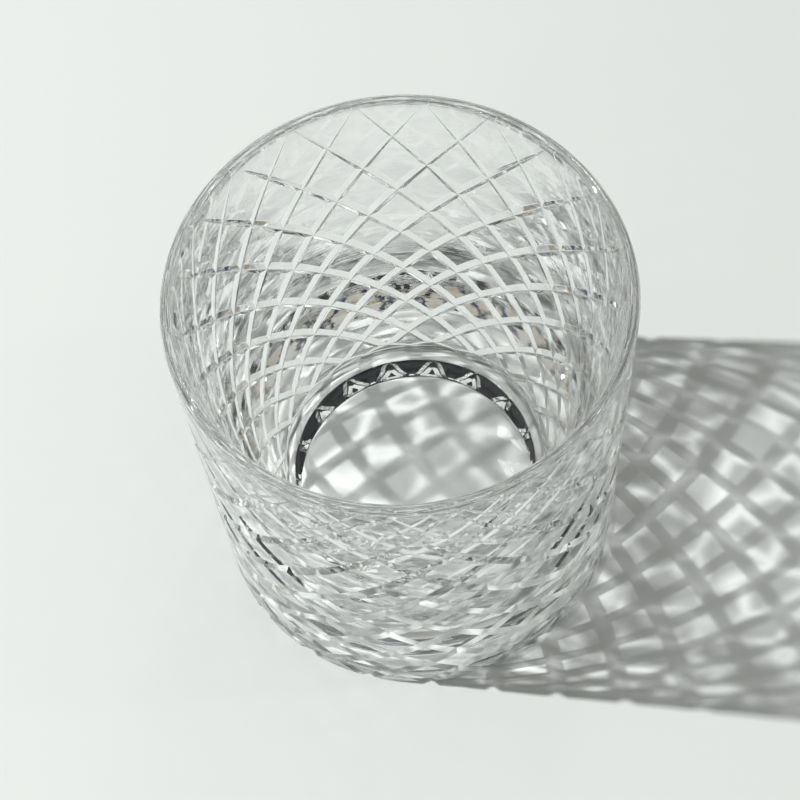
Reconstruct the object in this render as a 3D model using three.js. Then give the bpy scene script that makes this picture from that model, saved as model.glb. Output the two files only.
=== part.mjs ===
// A whiskey tumbler of clear cut crystal: a plain lip, a wall cut all over with a lattice of
// diamonds, and a thick base. Millimetres, +Z up, origin at the centre of the plane it rests on.
//
// The glass is one casting. It is given as three zones that meet on level planes: the plain lip,
// the cut wall, and the thick base, which holds the floor of the bowl.

import * as THREE from "three";
import { mergeVertices } from "three/addons/utils/BufferGeometryUtils.js";

// Overall shape
const HEIGHT = 89;
const RIM_RADIUS = 41; // outer wall at the rim
const FOOT_RADIUS = 40.5; // outer wall at the resting plane
const LIP_THICKNESS = 2.2;

// Lattice of V-shaped cuts: two mirror-image sets of spirals that start at shared points
const CUTS_EACH_WAY = 20;
const PLAIN_BAND = 1.6; // uncut glass above the first points
const ROWS = 13; // rows of half diamonds, from the first points down to the foot
const LOWER_PITCH = 5.35; // height of a row far down the wall; the rows grow taller upwards
const PITCH_FADE = 3.5; // rows over which that extra height fades
const CUT_WIDTH = 2.6;
const CUT_DEPTH = 0.9;
const CUT_FADE = 4; // rows over which a cut grows from its point to its full width

// Bowl: the wall thickens downwards, by a straight part and a curved part
const BOWL_SLOPE = 0.09; // mm of radius lost per mm of depth
const BOWL_CURVE = 0.00145; // and per mm of depth squared
const FLOOR_HEIGHT = 19.5;
const FLOOR_FILLET = 3;
const BASE_ROW = 9; // the base zone ends level with this row of the lattice

// Underside: a bevel, a level ring to rest on, and a hollow. The hollow's side is three arcs, from
// the ring up to its level top: a round foot, a steep side and a round shoulder.
const BEVEL_HEIGHT = 1;
const BEVEL_WIDTH = 0.9;
const HOLLOW_RADIUS = 34; // where the level ring ends
const FOOT_ARC = 14;
const SIDE_ARC = 22;
const SHOULDER_ARC = 2;
const SIDE_START = THREE.MathUtils.degToRad(26); // slope of the side at its foot
const SIDE_END = THREE.MathUtils.degToRad(38); // and under its shoulder

// Fineness of the mesh
const CELL_STEPS = 2; // along each side of a diamond
const ROUND_STEPS = 60; // round the lip and the bowl
const LIP_STEPS = 6;
const WALL_STEPS = 6;
const FILLET_STEPS = 4;
const FOOT_ARC_STEPS = 4;
const SIDE_ARC_STEPS = 2;
const SHOULDER_ARC_STEPS = 2;

const SECTOR = (2 * Math.PI) / CUTS_EACH_WAY;
const MERGE = 1e-3;

// ---- the shape as functions ----

const outerRadius = (z) => FOOT_RADIUS + ((RIM_RADIUS - FOOT_RADIUS) * z) / HEIGHT;

function bowlRadius(z) {
  const depth = HEIGHT - z;
  return RIM_RADIUS - LIP_THICKNESS - BOWL_SLOPE * depth - BOWL_CURVE * depth ** 2;
}

const bowlSlope = (z) => BOWL_SLOPE + 2 * BOWL_CURVE * (HEIGHT - z);

// The extra height of the upper rows, such that the last row ends on the bevel of the foot.
const EXTRA_HEIGHT =
  (HEIGHT - BEVEL_HEIGHT - PLAIN_BAND - LOWER_PITCH * ROWS) / (1 - Math.exp(-ROWS / PITCH_FADE));

const rowHeight = (row) =>
  HEIGHT - PLAIN_BAND - LOWER_PITCH * row - EXTRA_HEIGHT * (1 - Math.exp(-row / PITCH_FADE));

const rowPitch = (row) => LOWER_PITCH + (EXTRA_HEIGHT / PITCH_FADE) * Math.exp(-row / PITCH_FADE);

const CUTS_TOP = rowHeight(0);
const BASE_TOP = rowHeight(BASE_ROW);

// How much of its full width a cut has at a row: it starts at a point.
function cutShare(row) {
  const t = THREE.MathUtils.clamp(row / CUT_FADE, 0, 1);
  return t * (2 - t);
}

// Half a cut's width as a share of a diamond's side, measured across the diamond.
function cutMargin(row) {
  const across = outerRadius(rowHeight(row)) * SECTOR;
  const down = rowPitch(row);
  return (0.5 * CUT_WIDTH * cutShare(row) * Math.hypot(across / 2, down)) / (across * down);
}

const polar = (radius, angle, z) =>
  new THREE.Vector3(radius * Math.cos(angle), radius * Math.sin(angle), z);

// ---- a closed surface, gathered triangle by triangle ----

class Surface {
  positions = [];

  triangle(a, b, c) {
    if (a.distanceTo(b) < MERGE || b.distanceTo(c) < MERGE || c.distanceTo(a) < MERGE) return;
    for (const p of [a, b, c]) this.positions.push(p.x, p.y, p.z);
  }

  // Four corners, in order round the quad, counter-clockwise from outside.
  quad(a, b, c, d) {
    this.triangle(a, b, d);
    this.triangle(b, c, d);
  }

  // A band from one ring of points to the next. Seen from outside with the first ring above the
  // second, the points run to the right.
  band(first, second) {
    first.forEach((point, i) => {
      const next = (i + 1) % first.length;
      this.quad(point, second[i], second[next], first[next]);
    });
  }

  bands(rings) {
    for (let i = 1; i < rings.length; i++) this.band(rings[i - 1], rings[i]);
  }

  // A level face inside one ring of points, and outside another if there is one.
  level(outline, hole, facesUp) {
    const points = [...outline, ...hole];
    const holes = hole.length ? [hole] : [];
    for (const [i, j, k] of THREE.ShapeUtils.triangulateShape(outline, holes)) {
      const [a, b, c] = [points[i], points[j], points[k]];
      const turn = (b.x - a.x) * (c.y - a.y) - (b.y - a.y) * (c.x - a.x);
      if (turn > 0 === facesUp) this.triangle(a, b, c);
      else this.triangle(a, c, b);
    }
  }

  geometry() {
    const loose = new THREE.BufferGeometry();
    loose.setAttribute("position", new THREE.Float32BufferAttribute(this.positions, 3));
    const merged = mergeVertices(loose, MERGE);
    merged.computeVertexNormals();
    return merged;
  }
}

// ---- the cut lattice ----

// A diamond between four cuts. s runs down to the right and t down to the left, each from 0 to 1,
// from the crossing at the top of the diamond.
class Diamond {
  constructor(column, topRow) {
    this.angle = (column + topRow / 2) * SECTOR;
    this.topRow = topRow;
  }

  // A point of the bottom of the cut that runs along an edge of the diamond.
  cut(s, t) {
    const row = this.topRow + s + t;
    const z = rowHeight(row);
    const radius = outerRadius(z) - CUT_DEPTH * cutShare(row);
    return polar(radius, this.angle + ((s - t) * SECTOR) / 2, z);
  }

  // A point of the uncut face, which the cuts narrow from each side.
  face(s, t) {
    const margin = cutMargin(this.topRow + s + t);
    const u = margin + s * (1 - 2 * margin);
    const v = margin + t * (1 - 2 * margin);
    const z = rowHeight(this.topRow + u + v);
    return polar(outerRadius(z), this.angle + ((u - v) * SECTOR) / 2, z);
  }
}

const step = (i) => i / CELL_STEPS;

// The uncut face of a diamond: its upper half, its lower half, or both.
function addFace(surface, diamond, upper, lower) {
  for (let i = 0; i < CELL_STEPS; i++)
    for (let j = 0; j < CELL_STEPS; j++) {
      const top = diamond.face(step(i), step(j));
      const left = diamond.face(step(i), step(j + 1));
      const bottom = diamond.face(step(i + 1), step(j + 1));
      const right = diamond.face(step(i + 1), step(j));
      if (i + j < CELL_STEPS ? upper : lower) surface.triangle(top, left, right);
      if (i + j < CELL_STEPS - 1 ? upper : lower) surface.triangle(left, bottom, right);
    }
}

// The slopes of the cuts along a diamond's two upper edges.
function addUpperSlopes(surface, diamond) {
  for (let i = 0; i < CELL_STEPS; i++) {
    const [a, b] = [step(i), step(i + 1)];
    surface.quad(diamond.cut(a, 0), diamond.face(a, 0), diamond.face(b, 0), diamond.cut(b, 0));
    surface.quad(diamond.cut(0, a), diamond.cut(0, b), diamond.face(0, b), diamond.face(0, a));
  }
}

// The slopes of the cuts along its two lower edges.
function addLowerSlopes(surface, diamond) {
  for (let i = 0; i < CELL_STEPS; i++) {
    const [a, b] = [step(i), step(i + 1)];
    surface.quad(diamond.cut(a, 1), diamond.cut(b, 1), diamond.face(b, 1), diamond.face(a, 1));
    surface.quad(diamond.cut(1, a), diamond.face(1, a), diamond.face(1, b), diamond.cut(1, b));
  }
}

// The cut wall from one row to another. It starts and ends with half diamonds, so both of its
// edges are level.
function addLattice(surface, firstRow, lastRow) {
  for (let column = 0; column < CUTS_EACH_WAY; column++)
    for (let topRow = firstRow - 1; topRow < lastRow; topRow++) {
      const diamond = new Diamond(column, topRow);
      const upper = topRow >= firstRow;
      const lower = topRow < lastRow - 1;
      addFace(surface, diamond, upper, lower);
      if (upper) addUpperSlopes(surface, diamond);
      if (lower) addLowerSlopes(surface, diamond);
    }
}

// The level outline of the cut wall at a row, notched by the cuts.
function outlineAt(row) {
  const outline = [];
  for (let column = 0; column < CUTS_EACH_WAY; column++) {
    const diamond = new Diamond(column, row - 1);
    const points = Array.from({ length: CELL_STEPS + 1 }, (_, i) =>
      diamond.face(step(i), step(CELL_STEPS - i)),
    );
    if (cutShare(row) > 0) outline.push(diamond.cut(0, 1));
    else points.pop();
    outline.push(...points);
  }
  return outline;
}

// ---- round rings ----

function ring(radius, z) {
  return Array.from({ length: ROUND_STEPS }, (_, i) =>
    polar(radius, (i * 2 * Math.PI) / ROUND_STEPS, z),
  );
}

// Rings along an arc of a meridian, from one angle to another.
function arcRings(centreRadius, centreZ, radius, from, to, steps) {
  return Array.from({ length: steps + 1 }, (_, i) => {
    const angle = from + ((to - from) * i) / steps;
    return ring(centreRadius + radius * Math.cos(angle), centreZ + radius * Math.sin(angle));
  });
}

// ---- the three zones ----

function lip() {
  const surface = new Surface();
  const radius = LIP_THICKNESS / 2;
  const top = arcRings(RIM_RADIUS - radius, HEIGHT - radius, radius, Math.PI, 0, LIP_STEPS);
  const inner = ring(bowlRadius(CUTS_TOP), CUTS_TOP);
  const outer = ring(outerRadius(CUTS_TOP), CUTS_TOP);
  surface.bands([inner, ...top, outer]);
  surface.level(outer, inner, false);
  return surface;
}

function cutWall() {
  const surface = new Surface();
  addLattice(surface, 0, BASE_ROW);
  const wall = Array.from({ length: WALL_STEPS + 1 }, (_, i) => {
    const z = BASE_TOP + ((CUTS_TOP - BASE_TOP) * i) / WALL_STEPS;
    return ring(bowlRadius(z), z);
  });
  surface.bands(wall);
  surface.level(outlineAt(0), wall.at(-1), true);
  surface.level(outlineAt(BASE_ROW), wall[0], false);
  return surface;
}

// The floor of the bowl, its fillet, and the foot of the bowl's wall.
function addFloor(surface) {
  const lean = Math.atan(bowlSlope(FLOOR_HEIGHT + FLOOR_FILLET));
  const filletTop = FLOOR_HEIGHT + FLOOR_FILLET * (1 - Math.sin(lean));
  const flatRadius = bowlRadius(filletTop) - FLOOR_FILLET * Math.cos(lean);
  const filletZ = FLOOR_HEIGHT + FLOOR_FILLET;
  const quarter = -Math.PI / 2;
  const fillet = arcRings(flatRadius, filletZ, FLOOR_FILLET, quarter, -lean, FILLET_STEPS);
  const mouth = ring(bowlRadius(BASE_TOP), BASE_TOP);
  surface.bands([...fillet, mouth]);
  surface.level(fillet[0], [], true);
  surface.level(outlineAt(BASE_ROW), mouth, true);
}

// Points (x the radius, y the height) that run inwards and up along the side of the hollow. Each
// arc takes up the slope of the one before it.
function hollowProfile() {
  const profile = [new THREE.Vector2(HOLLOW_RADIUS, 0)];
  const addArc = (radius, from, to, steps) => {
    const start = profile.at(-1);
    const turned = Math.sign(to - from) * radius;
    for (let i = 1; i <= steps; i++) {
      const slope = from + ((to - from) * i) / steps;
      const along = turned * (Math.sin(slope) - Math.sin(from));
      const up = turned * (Math.cos(from) - Math.cos(slope));
      profile.push(new THREE.Vector2(start.x - along, start.y + up));
    }
  };
  addArc(FOOT_ARC, 0, SIDE_START, FOOT_ARC_STEPS);
  addArc(SIDE_ARC, SIDE_START, SIDE_END, SIDE_ARC_STEPS);
  addArc(SHOULDER_ARC, SIDE_END, 0, SHOULDER_ARC_STEPS);
  return profile;
}

// The bevel, the resting ring and the hollow, below the notched lower edge of the cut wall.
function addUnderside(surface) {
  const edge = outlineAt(ROWS);
  const angles = edge.map((point) => Math.atan2(point.y, point.x));
  const level = (radius, z) => angles.map((angle) => polar(radius, angle, z));
  const hollow = hollowProfile().map((point) => level(point.x, point.y));
  surface.bands([edge, level(FOOT_RADIUS - BEVEL_WIDTH, 0), ...hollow]);
  surface.level(hollow.at(-1), [], false);
}

function base() {
  const surface = new Surface();
  addLattice(surface, BASE_ROW, ROWS);
  addFloor(surface);
  addUnderside(surface);
  return surface;
}

// ---- the tumbler ----

function node(name, surface) {
  const crystal = new THREE.MeshStandardMaterial({
    color: 0xf1f6f4,
    roughness: 0.03,
    metalness: 0,
    transparent: true,
    opacity: 0.35,
  });
  const mesh = new THREE.Mesh(surface.geometry(), crystal);
  mesh.name = name;
  return mesh;
}

const tumbler = new THREE.Group();
tumbler.add(node("lip", lip()), node("cut_wall", cutWall()), node("base", base()));

export default tumbler;
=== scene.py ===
"""The looks of a whiskey tumbler of clear cut crystal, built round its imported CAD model.

The glass is one closed mesh: the lattice of cuts, the lip, the bowl and the foot are made as
patches that share their edges. Lengths in the constants are millimetres; Blender works in metres.
"""

import math

import bpy
from mathutils import Matrix, Vector


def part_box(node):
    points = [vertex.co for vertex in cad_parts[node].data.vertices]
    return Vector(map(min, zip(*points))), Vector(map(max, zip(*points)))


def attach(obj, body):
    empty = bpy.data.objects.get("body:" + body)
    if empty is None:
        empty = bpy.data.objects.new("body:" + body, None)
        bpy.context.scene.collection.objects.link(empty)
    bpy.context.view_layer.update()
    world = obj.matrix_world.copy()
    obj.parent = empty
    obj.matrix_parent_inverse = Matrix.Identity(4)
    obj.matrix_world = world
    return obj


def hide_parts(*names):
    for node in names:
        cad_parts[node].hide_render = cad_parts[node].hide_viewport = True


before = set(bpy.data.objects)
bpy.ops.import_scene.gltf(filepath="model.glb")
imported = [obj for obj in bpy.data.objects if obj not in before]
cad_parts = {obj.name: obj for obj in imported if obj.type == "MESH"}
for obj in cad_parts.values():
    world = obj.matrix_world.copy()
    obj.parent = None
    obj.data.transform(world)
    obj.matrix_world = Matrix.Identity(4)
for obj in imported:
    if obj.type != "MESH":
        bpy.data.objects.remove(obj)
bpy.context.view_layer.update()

MM = 0.001

# ---- size of the glass ----

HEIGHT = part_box("lip")[1][2] / MM
RIM_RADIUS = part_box("lip")[1][0] / MM
CUTS_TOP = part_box("lip")[0][2] / MM
TAPER = 0.5
FOOT_RADIUS = RIM_RADIUS - TAPER
LIP_THICKNESS = 2.2

# Cut lattice
CUTS_EACH_WAY = 20
ROWS = 13
LOWER_PITCH = 5.35
PITCH_FADE = 3.5
CUT_WIDTH = 2.6
CUT_DEPTH = 0.9
CUT_FADE = 4
WIDTH_SPREAD = 0.08  # the cuts are made by hand, so their width wanders a little
EDGE_ROUNDING = 0.14  # share of a slope's width that is rounded, at its edge and at its bottom

# Bowl
BOWL_SLOPE = 0.09
BOWL_CURVE = 0.00145
FLOOR_HEIGHT = 19.5
FLOOR_FILLET = 3

# Underside: a bevel, a level ring to rest on, and a hollow. The hollow's side is three arcs, from
# the ring up to its level top: a round foot, a steep side and a round shoulder.
BEVEL_HEIGHT = 1
BEVEL_WIDTH = 0.9
HOLLOW_RADIUS = 34
FOOT_ARC = 14
SIDE_ARC = 22
SHOULDER_ARC = 2
SIDE_START = math.radians(26)
SIDE_END = math.radians(38)

# Fineness of the mesh
CELL_STEPS = 8
LIP_STEPS = 14
WALL_STEPS = 40
FILLET_STEPS = 12
FLOOR_STEPS = 5
BEVEL_STEPS = 4
ARC_STEPS = 12

SECTOR = 2 * math.pi / CUTS_EACH_WAY


# ---- the shape as functions ----

def outer_radius(z):
    return FOOT_RADIUS + (RIM_RADIUS - FOOT_RADIUS) * z / HEIGHT


def bowl_radius(z):
    depth = HEIGHT - z
    return RIM_RADIUS - LIP_THICKNESS - BOWL_SLOPE * depth - BOWL_CURVE * depth**2


def bowl_lean(z):
    return math.atan(BOWL_SLOPE + 2 * BOWL_CURVE * (HEIGHT - z))


EXTRA_HEIGHT = (CUTS_TOP - BEVEL_HEIGHT - LOWER_PITCH * ROWS) / (1 - math.exp(-ROWS / PITCH_FADE))


def row_height(row):
    return CUTS_TOP - LOWER_PITCH * row - EXTRA_HEIGHT * (1 - math.exp(-row / PITCH_FADE))


def row_pitch(row):
    return LOWER_PITCH + EXTRA_HEIGHT / PITCH_FADE * math.exp(-row / PITCH_FADE)


def cut_share(row):
    """How much of its full width and depth a cut has at a row: it starts at a point."""
    t = min(max(row / CUT_FADE, 0), 1)
    return t * (2 - t)


def cut_width(row, line, family):
    """Width of one cut. Each cut wanders in its own way, and evens out at the foot."""
    phase = 2.4 * (line % CUTS_EACH_WAY) + 1.7 * family + 2.1 * row
    spread = WIDTH_SPREAD * math.sin(phase) * min(1, ROWS - row)
    return CUT_WIDTH * cut_share(row) * (1 + spread)


def cut_margin(row, line, family):
    """Half a cut's width as a share of a diamond's side, measured across the diamond."""
    across = outer_radius(row_height(row)) * SECTOR
    down = row_pitch(row)
    return 0.5 * cut_width(row, line, family) * math.hypot(across / 2, down) / (across * down)


def polar(radius, angle, z):
    return Vector((radius * math.cos(angle), radius * math.sin(angle), z))


def wall_normal(angle):
    return polar(1, angle, (FOOT_RADIUS - RIM_RADIUS) / HEIGHT).normalized()


# ---- a mesh gathered face by face, with a normal for each corner ----

# Finishes, in the order of the material slots. The underside has the bowl's finish.
BOWL = 0
FACE = 1
CUT = 2
# The worn ring and bevel the glass rests on. Its finish also lets little light through, which paints
# shade on the table under the foot.
WORN_AND_PAINTED_SHADE = 3

MERGE_DIGITS = 4  # points that agree to this many decimals of a millimetre are one vertex


class Shell:
    """The surface of the glass."""

    def __init__(self):
        self.index = {}
        self.points = []
        self.faces = []
        self.normals = []
        self.finishes = []

    def vertex(self, point):
        key = tuple(round(value, MERGE_DIGITS) for value in point)
        if key not in self.index:
            self.index[key] = len(self.points)
            self.points.append(point * MM)
        return self.index[key]

    def face(self, *corners, finish):
        """Corners are (point, normal) pairs, counter-clockwise from outside. Corners that fall
        together, as at the tip of a cut, count once."""
        kept = {}
        for point, normal in corners:
            kept.setdefault(self.vertex(point), normal)
        if len(kept) > 2:
            self.faces.append(list(kept))
            self.normals.extend(kept.values())
            self.finishes.append(finish)

    def grid(self, lines, finish):
        """Faces between lines of corners. Seen from outside, each line runs down and the lines
        follow to the right."""
        for left, right in zip(lines, lines[1:]):
            for i in range(len(left) - 1):
                self.face(left[i], left[i + 1], right[i + 1], right[i], finish=finish)

    def object(self, name):
        mesh = bpy.data.meshes.new(name)
        mesh.from_pydata(self.points, [], self.faces)
        mesh.polygons.foreach_set("use_smooth", [True] * len(self.faces))
        mesh.polygons.foreach_set("material_index", self.finishes)
        mesh.normals_split_custom_set(self.normals)
        piece = bpy.data.objects.new(name, mesh)
        bpy.context.scene.collection.objects.link(piece)
        return piece


# ---- the cut lattice ----

NUDGE = 0.01  # a short way in s and t, to find a direction
STEEPNESS = 1 / (1 - EDGE_ROUNDING)

# Across a slope of a cut, from the edge of the face to the bottom: share of the width, share of
# the depth, and steepness.
SLOPE_STEPS = (
    (0, 0, 0),
    (EDGE_ROUNDING, EDGE_ROUNDING * STEEPNESS / 2, STEEPNESS),
    (0.5, 0.5, STEEPNESS),
    (1 - EDGE_ROUNDING, 1 - EDGE_ROUNDING * STEEPNESS / 2, STEEPNESS),
    (1, 1, 0),
)


class Diamond:
    """A diamond between four cuts. s runs down to the right and t down to the left, each from 0
    to 1, from the crossing at the top of the diamond."""

    def __init__(self, column, top_row):
        self.column = column
        self.top_row = top_row

    def at(self, s, t, sink=0.0):
        z = row_height(self.top_row + s + t)
        angle = (self.column + (self.top_row + s - t) / 2) * SECTOR
        return polar(outer_radius(z) - sink, angle, z)

    def face_place(self, s, t):
        """The place of a point of the uncut face, which the cuts narrow from each side."""
        row = self.top_row + s + t
        right_lines = [cut_margin(row, self.column - k, 0) for k in (0, 1)]
        left_lines = [cut_margin(row, self.column + self.top_row + k, 1) for k in (0, 1)]
        u = left_lines[0] + s * (1 - sum(left_lines))
        v = right_lines[0] + t * (1 - sum(right_lines))
        return u, v

    def face_corner(self, s, t):
        point = self.at(*self.face_place(s, t))
        return point, wall_normal(math.atan2(point.y, point.x))

    def slope_line(self, s, t, towards):
        """Corners across a slope, from the bottom of the cut up to the edge of the face. towards
        is the way from the face to the cut, in s and t."""
        u, v = self.face_place(s, t)
        share = cut_share(self.top_row + s + t)
        over = self.at(s + NUDGE * towards[0], t + NUDGE * towards[1]) - self.at(s, t)
        along = self.at(s + NUDGE * towards[1], t + NUDGE * towards[0]) - self.at(s, t)
        over = (over - over.project(along)).normalized()
        corners = []
        for width, depth, steepness in reversed(SLOPE_STEPS):
            point = self.at(u + (s - u) * width, v + (t - v) * width, CUT_DEPTH * share * depth)
            tilt = 2 * CUT_DEPTH / CUT_WIDTH * steepness
            normal = wall_normal(math.atan2(point.y, point.x)) + over * tilt
            corners.append((point, normal.normalized()))
        return corners

    def add_face(self, shell, upper, lower):
        steps = range(CELL_STEPS + 1)
        corners = [[self.face_corner(i / CELL_STEPS, j / CELL_STEPS) for j in steps] for i in steps]
        for i in steps[:-1]:
            for j in steps[:-1]:
                top, left = corners[i][j], corners[i][j + 1]
                right, bottom = corners[i + 1][j], corners[i + 1][j + 1]
                if upper if i + j < CELL_STEPS else lower:
                    shell.face(top, left, right, finish=FACE)
                if upper if i + j < CELL_STEPS - 1 else lower:
                    shell.face(left, bottom, right, finish=FACE)

    def add_slopes(self, shell, upper, lower):
        shares = [i / CELL_STEPS for i in range(CELL_STEPS + 1)]
        if upper:
            shell.grid([self.slope_line(0, 1 - a, (-1, 0)) for a in shares], CUT)
            shell.grid([self.slope_line(a, 0, (0, -1)) for a in shares], CUT)
        if lower:
            shell.grid([self.slope_line(1, a, (1, 0)) for a in shares], CUT)
            shell.grid([self.slope_line(1 - a, 1, (0, 1)) for a in shares], CUT)


def add_lattice(shell):
    for column in range(CUTS_EACH_WAY):
        for top_row in range(-1, ROWS):
            diamond = Diamond(column, top_row)
            upper = top_row >= 0
            lower = top_row < ROWS - 1
            diamond.add_face(shell, upper, lower)
            diamond.add_slopes(shell, upper, lower)


def foot_outline():
    """The level lower edge of the lattice, notched by the cuts."""
    outline = []
    for column in range(CUTS_EACH_WAY):
        diamond = Diamond(column, ROWS - 1)
        left = diamond.slope_line(0, 1, (-1, 0))
        face = [diamond.face_corner(i / CELL_STEPS, 1 - i / CELL_STEPS) for i in range(1, CELL_STEPS)]
        right = diamond.slope_line(1, 0, (0, -1))
        outline += [point for point, normal in left + face + right[:0:-1]]
    return outline


# ---- round surfaces ----

def arc(centre, radius, start, stop, steps):
    """Points (radius, z) of an arc of a profile."""
    angles = [start + (stop - start) * i / steps for i in range(steps + 1)]
    middle = Vector(centre)
    return [middle + radius * Vector((math.cos(a), math.sin(a))) for a in angles]


def turn(profile, angles):
    """Lines of corners, one for each angle, with smooth normals. The glass lies on the left of
    the profile as it runs."""
    lines = []
    normals = []
    for i in range(len(profile)):
        way = profile[min(i + 1, len(profile) - 1)] - profile[max(i - 1, 0)]
        normals.append(Vector((way.y, -way.x)).normalized())
    for angle in angles:
        line = [(polar(p.x, angle, p.y), polar(n.x, angle, n.y)) for p, n in zip(profile, normals)]
        lines.append(line)
    return lines


def bowl_profile():
    """From the outer wall just above the cuts, over the lip, and down to the middle of the floor."""
    lip = LIP_THICKNESS / 2
    start = [Vector((outer_radius(CUTS_TOP), CUTS_TOP))]
    start += arc((RIM_RADIUS - lip, HEIGHT - lip), lip, 0, math.pi, LIP_STEPS)

    lean = bowl_lean(FLOOR_HEIGHT + FLOOR_FILLET)
    fillet_top = FLOOR_HEIGHT + FLOOR_FILLET * (1 - math.sin(lean))
    flat_radius = bowl_radius(fillet_top) - FLOOR_FILLET * math.cos(lean)
    wall = []
    for i in range(WALL_STEPS):
        z = CUTS_TOP + (fillet_top - CUTS_TOP) * i / WALL_STEPS
        wall.append(Vector((bowl_radius(z), z)))
    centre = (flat_radius, FLOOR_HEIGHT + FLOOR_FILLET)
    fillet = arc(centre, FLOOR_FILLET, -lean, -math.pi / 2, FILLET_STEPS)
    shares = [1 - i / FLOOR_STEPS for i in range(1, FLOOR_STEPS + 1)]
    floor = [Vector((flat_radius * share, FLOOR_HEIGHT)) for share in shares]
    return start + wall + fillet + floor


def hollow_profile():
    """From the ring that the glass rests on, up the side of the hollow and in to its middle. Each
    arc takes up the slope of the one before it."""
    profile = [Vector((HOLLOW_RADIUS, 0))]
    arcs = ((FOOT_ARC, 0, SIDE_START), (SIDE_ARC, SIDE_START, SIDE_END), (SHOULDER_ARC, SIDE_END, 0))
    for radius, first, last in arcs:
        start = profile[-1]
        turned = math.copysign(radius, last - first)
        for i in range(1, ARC_STEPS + 1):
            slope = first + (last - first) * i / ARC_STEPS
            along = turned * (math.sin(slope) - math.sin(first))
            up = turned * (math.cos(first) - math.cos(slope))
            profile.append(start + Vector((-along, up)))
    edge = profile[-1]
    profile += [Vector((edge.x * (1 - i / FLOOR_STEPS), edge.y)) for i in range(1, FLOOR_STEPS + 1)]
    return profile


def add_bowl(shell):
    count = CUTS_EACH_WAY * CELL_STEPS
    angles = [2 * math.pi * i / count for i in range(count + 1)]
    shell.grid(turn(bowl_profile(), angles)[::-1], BOWL)


def add_foot(shell):
    """From the notched lower edge of the lattice, round the bevel and in to the middle."""
    outline = foot_outline()
    lines = []
    underside = hollow_profile()[::-1]
    for point in outline + outline[:1]:
        angle = math.atan2(point.y, point.x)
        start = math.hypot(point.x, point.y)
        line = []
        for i in range(BEVEL_STEPS + 1):
            bend = math.pi / 2 * i / BEVEL_STEPS
            radius = start + (FOOT_RADIUS - BEVEL_WIDTH - start) * (1 - math.cos(bend))
            z = BEVEL_HEIGHT * (1 - math.sin(bend))
            normal = Vector((math.cos(bend) / BEVEL_WIDTH, -math.sin(bend) / BEVEL_HEIGHT)).normalized()
            line.append((polar(radius, angle, z), polar(normal.x, angle, normal.y)))
        lines.append(line + turn(underside, [angle])[0][::-1])
    ring_end = BEVEL_STEPS + 1
    # The ring and bevel are worn, and their finish paints shade on the table under the foot.
    shell.grid([line[:ring_end + 1] for line in lines], WORN_AND_PAINTED_SHADE)
    shell.grid([line[ring_end:] for line in lines], BOWL)


def tumbler_glass():
    shell = Shell()
    add_lattice(shell)
    add_bowl(shell)
    add_foot(shell)
    return shell.object("tumbler_glass")


# ---- materials ----

def new_material(name):
    material = bpy.data.materials.new(name)
    material.use_nodes = True
    nodes = material.node_tree.nodes
    return material, nodes, material.node_tree.links, nodes["Principled BSDF"]


def texture(nodes, links, kind, place, settings):
    node = nodes.new(kind)
    links.new(place, node.inputs["Vector"])
    for socket, value in settings.items():
        node.inputs[socket].default_value = value
    return node


def bump(nodes, links, height, strength, distance):
    node = nodes.new("ShaderNodeBump")
    node.inputs["Strength"].default_value = strength
    node.inputs["Distance"].default_value = distance
    links.new(height, node.inputs["Height"])
    return node


def remap(nodes, links, value, start, end):
    """A value that runs from one (input, output) pair to another, and stays level past them."""
    node = nodes.new("ShaderNodeMapRange")
    node.inputs["From Min"].default_value, node.inputs["To Min"].default_value = start
    node.inputs["From Max"].default_value, node.inputs["To Max"].default_value = end
    links.new(value, node.inputs["Value"])
    return node.outputs["Result"]


def polish_by_hand(nodes, links, place, shader, roughness, waviness):
    """Broad waves and fine rings stay in the surface, and some places are a little less polished."""
    waves = texture(nodes, links, "ShaderNodeTexNoise", place, {"Scale": 90, "Detail": 2})
    level = nodes.new("ShaderNodeMapping")
    level.inputs["Scale"].default_value = (1, 1, 6)
    links.new(place, level.inputs["Vector"])
    rings = texture(
        nodes, links, "ShaderNodeTexNoise", level.outputs["Vector"], {"Scale": 120, "Distortion": 0.6}
    )
    wave_bump = bump(nodes, links, waves.outputs["Fac"], waviness, 0.0004)
    ring_bump = bump(nodes, links, rings.outputs["Fac"], waviness, 0.00006)
    links.new(wave_bump.outputs["Normal"], ring_bump.inputs["Normal"])
    links.new(ring_bump.outputs["Normal"], shader.inputs["Normal"])
    dulled = remap(nodes, links, rings.outputs["Fac"], (0.45, 0), (0.75, roughness))
    links.new(dulled, shader.inputs["Roughness"])


def painted_shadow_share(nodes, links, place, dim, bright):
    """The share that light keeps on its way through, which paints the glass's shadow: painted caustic
    light along a made-up web of lines, painted shade between them, and more light let through low down
    in the thick base than in the wall."""
    web = texture(nodes, links, "ShaderNodeTexVoronoi", place, {"Scale": 110})
    web.feature = "DISTANCE_TO_EDGE"
    # painted caustic light: bright along the edges of a Voronoi web, painted shade between them
    painted_caustic_web = remap(nodes, links, web.outputs["Distance"], (0, bright), (0.18, dim))
    height = nodes.new("ShaderNodeSeparateXYZ")
    links.new(place, height.inputs["Vector"])
    # painted light: more let through low down, towards the foot
    painted_foot_light = remap(nodes, links, height.outputs["Z"], (0, 1.5), (0.06, 1))
    share = nodes.new("ShaderNodeMath")
    share.operation = "MULTIPLY"
    links.new(painted_caustic_web, share.inputs[0])
    links.new(painted_foot_light, share.inputs[1])
    return share.outputs["Value"]


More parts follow.
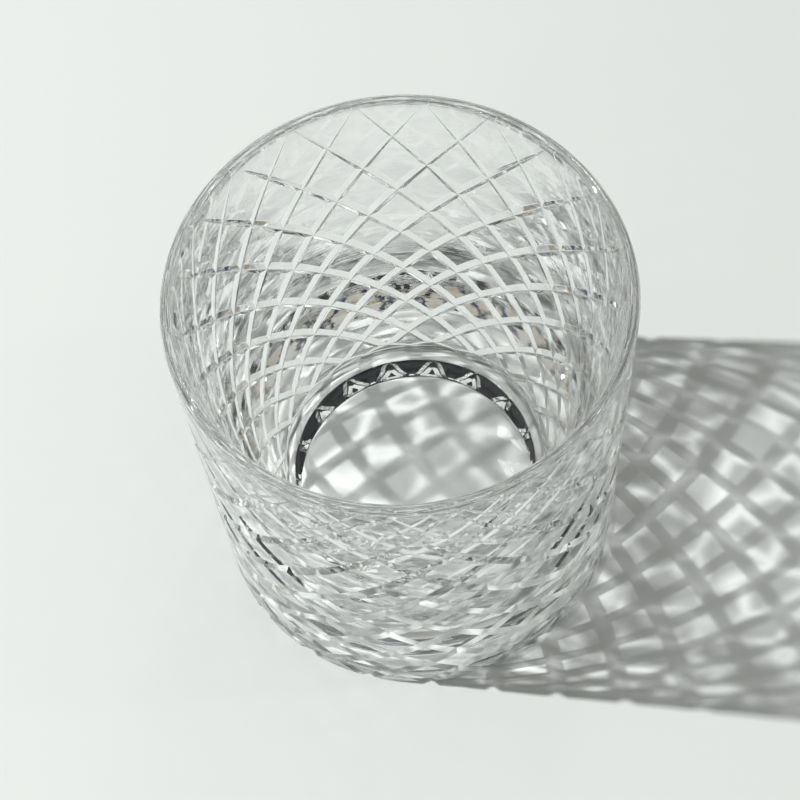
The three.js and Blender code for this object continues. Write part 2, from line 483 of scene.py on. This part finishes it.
def crystal(name, roughness, waviness, dim, bright):
    """Clear crystal. Light on its way to a lamp, or bounced off the table, goes straight through and
    keeps a painted share of itself, so that the glass casts a painted, patterned shadow with painted
    caustic light."""
    material, nodes, links, shader = new_material(name)
    shader.inputs["Base Color"].default_value = (0.988, 0.994, 0.99, 1)
    shader.inputs["Transmission Weight"].default_value = 1
    shader.inputs["IOR"].default_value = 1.54
    place = nodes.new("ShaderNodeTexCoord").outputs["Object"]
    polish_by_hand(nodes, links, place, shader, roughness, waviness)

    path = nodes.new("ShaderNodeLightPath")
    clear = nodes.new("ShaderNodeBsdfTransparent")
    links.new(painted_shadow_share(nodes, links, place, dim, bright), clear.inputs["Color"])
    surface = shader.outputs["BSDF"]
    for ray in ("Is Shadow Ray", "Is Diffuse Ray"):
        mix = nodes.new("ShaderNodeMixShader")
        links.new(path.outputs[ray], mix.inputs["Fac"])
        links.new(surface, mix.inputs[1])
        links.new(clear.outputs["BSDF"], mix.inputs[2])
        surface = mix.outputs["Shader"]
    links.new(surface, nodes["Material Output"].inputs["Surface"])
    return material


def pale_table():
    material, _, _, shader = new_material("pale_table")
    shader.inputs["Base Color"].default_value = (0.85, 0.89, 0.865, 1)
    shader.inputs["Roughness"].default_value = 0.7
    return material


# ---- stage, light and camera ----

def floor():
    mesh = bpy.data.meshes.new("floor")
    half = 3
    corners = [(-half, -half, 0), (half, -half, 0), (half, half, 0), (-half, half, 0)]
    mesh.from_pydata(corners, [], [(0, 1, 2, 3)])
    piece = bpy.data.objects.new("floor", mesh)
    piece.data.materials.append(pale_table())
    bpy.context.scene.collection.objects.link(piece)


def softbox(name, place, size, power):
    """A flat lamp that faces the foot of the glass."""
    light = bpy.data.lights.new(name, "AREA")
    light.shape = "RECTANGLE"
    light.size, light.size_y = size
    light.energy = power
    lamp = bpy.data.objects.new(name, light)
    facing = (-Vector(place)).to_track_quat("-Z", "Y").to_matrix().to_4x4()
    lamp.matrix_world = Matrix.Translation(place) @ facing
    bpy.context.scene.collection.objects.link(lamp)


def sky_ramp(nodes, stops):
    """A colour for each height in the sky, from the horizon at 0 to straight up at 1."""
    ramp = nodes.new("ShaderNodeValToRGB")
    while len(ramp.color_ramp.elements) < len(stops):
        ramp.color_ramp.elements.new(0.5)
    for element, (height, colour) in zip(ramp.color_ramp.elements, stops):
        element.position = height
        element.color = (*colour, 1)
    return ramp


def room():
    """A studio with a pale ceiling and a pale horizon, and dark walls between them, which give the
    glass its black edges. Behind the glass the wall stays dark down to the table."""
    world = bpy.data.worlds.new("room")
    world.use_nodes = True
    nodes = world.node_tree.nodes
    links = world.node_tree.links
    wall_and_ceiling = (
        (0.25, (0.008, 0.009, 0.012)),
        (0.7, (0.005, 0.006, 0.009)),
        (0.78, (0.02, 0.05, 0.13)),
        (0.82, (0.32, 0.23, 0.11)),
        (0.87, (0.42, 0.38, 0.3)),
        (0.92, (0.62, 0.64, 0.62)),
        (1.0, (0.75, 0.78, 0.77)),
    )
    all_round = sky_ramp(nodes, ((0.0, (0.68, 0.7, 0.68)), (0.14, (0.6, 0.62, 0.6))) + wall_and_ceiling)
    behind = sky_ramp(nodes, ((0.0, (0.03, 0.03, 0.03)), (0.1, (0.01, 0.011, 0.014))) + wall_and_ceiling)

    place = nodes.new("ShaderNodeTexCoord")
    split = nodes.new("ShaderNodeSeparateXYZ")
    links.new(place.outputs["Generated"], split.inputs["Vector"])
    facing_back = nodes.new("ShaderNodeMapRange")
    facing_back.inputs["From Min"].default_value = 0.25
    facing_back.inputs["From Max"].default_value = 0.6
    links.new(split.outputs["Y"], facing_back.inputs["Value"])
    mix = nodes.new("ShaderNodeMixRGB")
    links.new(facing_back.outputs["Result"], mix.inputs["Fac"])
    for ramp, socket in ((all_round, "Color1"), (behind, "Color2")):
        links.new(split.outputs["Z"], ramp.inputs["Fac"])
        links.new(ramp.outputs["Color"], mix.inputs[socket])
    links.new(mix.outputs["Color"], nodes["Background"].inputs["Color"])
    bpy.context.scene.world = world


def camera():
    """Above the glass and in front of it, looking steeply down into the bowl."""
    turned = math.radians(-6.7)
    elevation = math.radians(66.75)
    distance = 0.41015
    yaw, pitch, roll = math.radians(-0.266), math.radians(2.928), math.radians(-5.481)
    view = bpy.data.cameras.new("view")
    view.sensor_width = 36
    view.lens = 87.3
    view.clip_start = 0.01
    rig = bpy.data.objects.new("view", view)
    place = Vector((0, -distance * math.cos(elevation), distance * math.sin(elevation)))
    rig.matrix_world = (
        Matrix.Rotation(turned, 4, "Z")
        @ Matrix.Translation(place)
        @ Matrix.Rotation(math.pi / 2 - elevation, 4, "X")
        @ Matrix.Rotation(-yaw, 4, "Y")
        @ Matrix.Rotation(pitch, 4, "X")
        @ Matrix.Rotation(roll, 4, "Z")
    )
    bpy.context.scene.collection.objects.link(rig)
    bpy.context.scene.camera = rig


# ---- the scene ----

camera()
floor()
room()
# Lamps: place and size in metres, power in watts
softbox("key", (-2.0, 0.6, 1.9), (0.06, 0.06), 77)
softbox("front_glint", (-1.0, -0.9, 1.1), (0.16, 0.05), 0.8)
softbox("right_glint", (1.1, -0.2, 1.4), (0.05, 0.16), 0.8)
softbox("back_glint", (0.5, 1.0, 1.5), (0.16, 0.05), 0.8)
bpy.context.scene.view_settings.view_transform = "Standard"

# Light zigzags inside the cut wall many times before it leaves.
BOUNCES = 32
bpy.context.scene.cycles.max_bounces = BOUNCES
bpy.context.scene.cycles.transmission_bounces = BOUNCES
bpy.context.scene.cycles.glossy_bounces = BOUNCES

glass = tumbler_glass()
# The last two numbers of each finish are painted shadow: the share of lamp light it lets through,
# between and along the painted caustic web. The cuts cast painted dark lines, and the worn ring paints
# shade on the table under the foot.
glass.data.materials.append(crystal("crystal_bowl", 0.02, 0.18, 0.72, 0.77))
glass.data.materials.append(crystal("crystal_face", 0.02, 0.15, 0.42, 1.15))
glass.data.materials.append(crystal("crystal_cut", 0.1, 0.1, 0.15, 0.45))
glass.data.materials.append(crystal("crystal_worn_painted_shade", 0.3, 0.1, 0.3, 0.6))
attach(glass, "root")
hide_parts("lip", "cut_wall", "base")
